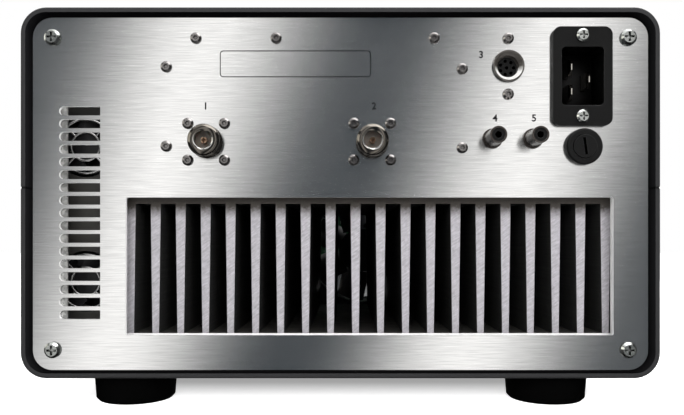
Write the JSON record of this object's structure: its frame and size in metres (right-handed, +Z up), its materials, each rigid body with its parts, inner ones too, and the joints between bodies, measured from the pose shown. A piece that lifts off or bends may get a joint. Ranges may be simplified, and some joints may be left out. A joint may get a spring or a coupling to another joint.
{
  "type": "vhf linear amplifier",
  "caption": "Desktop radio power amplifier: rounded two-half case on feet, brushed rear panel with radio, control and mains sockets, and a fan-cooled heatsink behind a wide air outlet.",
  "frame": {"origin": "on the ground under the middle of the whole object, between the feet", "axes": "+Z up, +Y from the socketed rear panel towards the front panel, +X to the right as seen from behind"},
  "size_m": [0.312, 0.347, 0.196],
  "materials": {
    "case_black": "fine-textured black",
    "brushed_panel": "horizontally brushed",
    "bright_screw": "bright plated",
    "small_screw": "plain steel",
    "foot_rubber": "matt black",
    "plated_sheet": "plated sheet",
    "heatsink_aluminium": "black anodised, bare saw-cut ends",
    "fan_black": "moulded black",
    "psu_grey": "dark grey",
    "guard_wire": "bright wire",
    "socket_nickel": "nickel plated",
    "socket_ptfe": "waxy off-white",
    "contact_gold": "gold plated",
    "black_moulding": "satin black",
    "blade_metal": "plated brass",
    "fuse_ceramic": "plain",
    "board_green": "solder resist",
    "device_ceramic": "lidded device",
    "relay_blue": "moulded",
    "window_dark": "smoked clear",
    "light_red": "diffused"
  },
  "bodies": {
    "case": {"upper_shell": "case_black", "lower_shell": "case_black", "rear_panel": "brushed_panel", "front_panel": "brushed_panel", "feet": "foot_rubber", "foot_screws": "small_screw", "rear_panel_screws": "bright_screw", "front_panel_screws": "bright_screw", "chassis": "plated_sheet", "chassis_screws": "small_screw", "heatsink": "heatsink_aluminium", "heatsink_screws": "small_screw", "fan_plate": "plated_sheet", "fan_frame_left": "fan_black", "fan_frame_middle": "fan_black", "fan_frame_right": "fan_black", "psu_case": "psu_grey", "psu_bracket": "plated_sheet", "psu_fan_frame_upper": "fan_black", "psu_fan_frame_lower": "fan_black", "psu_fan_guards": "guard_wire", "antenna_socket_body": "socket_nickel", "antenna_socket_insulator": "socket_ptfe", "antenna_socket_contact": "contact_gold", "radio_socket_body": "socket_nickel", "radio_socket_insulator": "socket_ptfe", "radio_socket_contact": "contact_gold", "socket_screws": "small_screw", "screen_box": "plated_sheet", "screen_box_screws": "small_screw", "accessory_socket_shell": "socket_nickel", "accessory_socket_insert": "black_moulding", "phono_bodies": "socket_nickel", "phono_insulators": "black_moulding", "phono_nuts": "socket_nickel", "mains_inlet_body": "black_moulding", "mains_inlet_blades": "blade_metal", "mains_inlet_screws": "bright_screw", "fuse_holder_body": "black_moulding", "fuse_holder_nut": "black_moulding", "pa_board": "board_green", "rf_transistors": "device_ceramic", "filter_board": "board_green", "changeover_relay": "relay_blue", "control_board": "board_green", "display_window": "window_dark", "display_board": "board_green", "meter_lights": "light_red", "power_switch_body": "black_moulding", "button_switches": "black_moulding"},
    "fan_rotor_left": {"fan_rotor_left": "fan_black"},
    "fan_rotor_middle": {"fan_rotor_middle": "fan_black"},
    "fan_rotor_right": {"fan_rotor_right": "fan_black"},
    "psu_fan_rotor_upper": {"psu_fan_rotor_upper": "fan_black"},
    "psu_fan_rotor_lower": {"psu_fan_rotor_lower": "fan_black"},
    "fuse_link": {"fuse_link": "fuse_ceramic"},
    "fuse_carrier": {"fuse_carrier": "black_moulding"},
    "power_rocker": {"power_rocker": "black_moulding"},
    "operate_button": {"operate_button": "black_moulding"},
    "level_button": {"level_button": "black_moulding"}
  },
  "joints": [
    {"name": "fan_spin_left", "type": "hinge", "parent": "case", "child": "fan_rotor_left", "pos_m": [-0.068, 0.028, 0.075], "axis": [0, -1, 0], "continuous": true},
    {"name": "fan_spin_middle", "type": "hinge", "parent": "case", "child": "fan_rotor_middle", "pos_m": [0.014, 0.028, 0.075], "axis": [0, -1, 0], "continuous": true},
    {"name": "fan_spin_right", "type": "hinge", "parent": "case", "child": "fan_rotor_right", "pos_m": [0.096, 0.028, 0.075], "axis": [0, -1, 0], "continuous": true},
    {"name": "psu_fan_spin_upper", "type": "hinge", "parent": "case", "child": "psu_fan_rotor_upper", "pos_m": [-0.13229, -0.1323, 0.131], "axis": [0, -1, 0], "continuous": true},
    {"name": "psu_fan_spin_lower", "type": "hinge", "parent": "case", "child": "psu_fan_rotor_lower", "pos_m": [-0.13229, -0.1323, 0.061], "axis": [0, -1, 0], "continuous": true},
    {"name": "fuse_pull", "type": "slide", "parent": "case", "child": "fuse_link", "axis": [0, -1, 0], "range_m": [0, 0.045]},
    {"name": "fuse_carrier_turn", "type": "hinge", "parent": "fuse_link", "child": "fuse_carrier", "pos_m": [0.1207, -0.1585, 0.1288], "axis": [0, -1, 0], "range_deg": [0, 90]},
    {"name": "power_switch", "type": "hinge", "parent": "case", "child": "power_rocker", "pos_m": [-0.1, 0.165, 0.0735], "axis": [1, 0, 0], "range_deg": [0, 16]},
    {"name": "operate_press", "type": "slide", "parent": "case", "child": "operate_button", "axis": [0, -1, 0], "range_m": [0, 0.0025], "stiffness_N_per_m": 300},
    {"name": "level_press", "type": "slide", "parent": "case", "child": "level_button", "axis": [0, -1, 0], "range_m": [0, 0.0025], "stiffness_N_per_m": 300}
  ]
}
